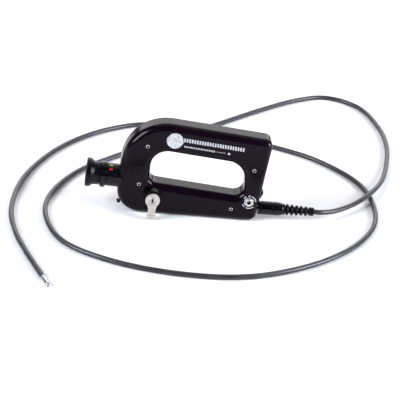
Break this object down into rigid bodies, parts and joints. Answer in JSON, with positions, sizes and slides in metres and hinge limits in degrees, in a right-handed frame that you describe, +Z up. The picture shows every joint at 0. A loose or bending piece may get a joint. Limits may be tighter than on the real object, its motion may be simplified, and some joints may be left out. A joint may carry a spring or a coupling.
{
  "type": "articulating borescope",
  "caption": "Hand-held inspection scope: loop grip with a finger slot, eyepiece, steering lever, power button, jack and a long flexible insertion tube with a steerable metal tip.",
  "frame": {"origin": "centre of the flat under the grip that the scope stands on, midway between its front and back faces", "axes": "+Z up out of the flat, +X along the grip from the eyepiece end towards the insertion tube, +Y through the grip's thickness away from the lever face"},
  "size_m": [0.4632, 0.5477, 0.1093],
  "materials": {
    "gloss_black": "gloss, piano black",
    "satin_black": "satin",
    "black_rubber": "satin",
    "satin_silver": "satin, fine lengthwise brushing",
    "bright_steel": "bright turned",
    "black_steel": "satin black oxide",
    "bronze": "plain turned",
    "aluminium": "plain milled",
    "lens_glass": "polished, coated",
    "board_green": "solder mask",
    "cell_sleeve": "shrink sleeve"
  },
  "bodies": {
    "scope": {"battery": "cell_sleeve", "battery_cradle": "satin_black", "battery_lead": "black_rubber", "block_screw_1": "black_steel", "block_screw_2": "black_steel", "block_screw_3": "black_steel", "block_screw_4": "black_steel", "button_bezel": "satin_black", "cable_stop": "aluminium", "case_screw_1": "satin_silver", "case_screw_2": "satin_silver", "case_screw_3": "satin_silver", "case_screw_4": "satin_silver", "cover_seal": "black_rubber", "driver_board": "board_green", "eye_lens": "lens_glass", "eyecup": "black_rubber", "eyepiece_barrel": "satin_black", "eyepiece_block": "aluminium", "field_lens": "lens_glass", "front_shell": "gloss_black", "gland_body": "satin_black", "gland_nut": "bronze", "image_bundle": "black_rubber", "insertion_tube": "black_rubber", "jack_barrel": "bright_steel", "jack_contact": "bronze", "jack_nut": "bright_steel", "led_module": "aluminium", "lever_boss": "satin_black", "light_bundle": "black_rubber", "power_switch": "satin_black", "pull_wire_lower": "bright_steel", "pull_wire_upper": "bright_steel", "rear_shell": "gloss_black", "shaft_bush": "bronze", "shaft_seal": "black_rubber", "strain_relief": "black_rubber", "strap_stud": "black_steel"},
    "lever": {"steering_lever": "satin_silver", "lever_screw": "bright_steel", "lever_shaft": "bright_steel", "cable_drum": "aluminium"},
    "focus": {"focus_ring": "satin_black"},
    "button": {"power_button": "satin_black"},
    "bend_1": {"vertebra_1": "bright_steel", "bend_sheath_1": "black_rubber"},
    "bend_2": {"vertebra_2": "bright_steel", "bend_sheath_2": "black_rubber"},
    "bend_3": {"vertebra_3": "bright_steel", "bend_sheath_3": "black_rubber"},
    "bend_4": {"vertebra_4": "bright_steel", "bend_sheath_4": "black_rubber"},
    "bend_5": {"vertebra_5": "bright_steel", "bend_sheath_5": "black_rubber"},
    "bend_6": {"vertebra_6": "bright_steel", "bend_sheath_6": "black_rubber", "distal_tip": "bright_steel", "objective_lens": "lens_glass", "light_window": "lens_glass"}
  },
  "joints": [
    {"name": "lever_turn", "type": "hinge", "parent": "scope", "child": "lever", "pos_m": [-0.0388, -0.0265, 0.0238], "axis": [0, 1, 0], "range_deg": [-38, 38]},
    {"name": "focus_turn", "type": "hinge", "parent": "scope", "child": "focus", "pos_m": [-0.07761, 0, 0.038], "axis": [-0.9992, 0, 0.0391], "range_deg": [-60, 60]},
    {"name": "button_press", "type": "slide", "parent": "scope", "child": "button", "axis": [0.9961, 0, -0.0879], "range_m": [-0.0014, 0], "stiffness_N_per_m": 400},
    {"name": "bend_1_turn", "type": "hinge", "parent": "scope", "child": "bend_1", "pos_m": [-0.1692, -0.1297, 0.00295], "axis": [0, 0, 1], "range_deg": [-18, 18]},
    {"name": "bend_2_turn", "type": "hinge", "parent": "bend_1", "child": "bend_2", "pos_m": [-0.1662, -0.13712, 0.00295], "axis": [0, 0, 1], "range_deg": [-18, 18]},
    {"name": "bend_3_turn", "type": "hinge", "parent": "bend_2", "child": "bend_3", "pos_m": [-0.16321, -0.14453, 0.00295], "axis": [0, 0, 1], "range_deg": [-18, 18]},
    {"name": "bend_4_turn", "type": "hinge", "parent": "bend_3", "child": "bend_4", "pos_m": [-0.16021, -0.15195, 0.00295], "axis": [0, 0, 1], "range_deg": [-18, 18]},
    {"name": "bend_5_turn", "type": "hinge", "parent": "bend_4", "child": "bend_5", "pos_m": [-0.15721, -0.15937, 0.00295], "axis": [0, 0, 1], "range_deg": [-18, 18]},
    {"name": "bend_6_turn", "type": "hinge", "parent": "bend_5", "child": "bend_6", "pos_m": [-0.15422, -0.16679, 0.00295], "axis": [0, 0, 1], "range_deg": [-18, 18]}
  ],
  "couplings": [
    {"joint": "bend_1_turn", "follows": "lever_turn", "ratio": 0.473},
    {"joint": "bend_2_turn", "follows": "lever_turn", "ratio": 0.473},
    {"joint": "bend_3_turn", "follows": "lever_turn", "ratio": 0.473},
    {"joint": "bend_4_turn", "follows": "lever_turn", "ratio": 0.473},
    {"joint": "bend_5_turn", "follows": "lever_turn", "ratio": 0.473},
    {"joint": "bend_6_turn", "follows": "lever_turn", "ratio": 0.473}
  ]
}
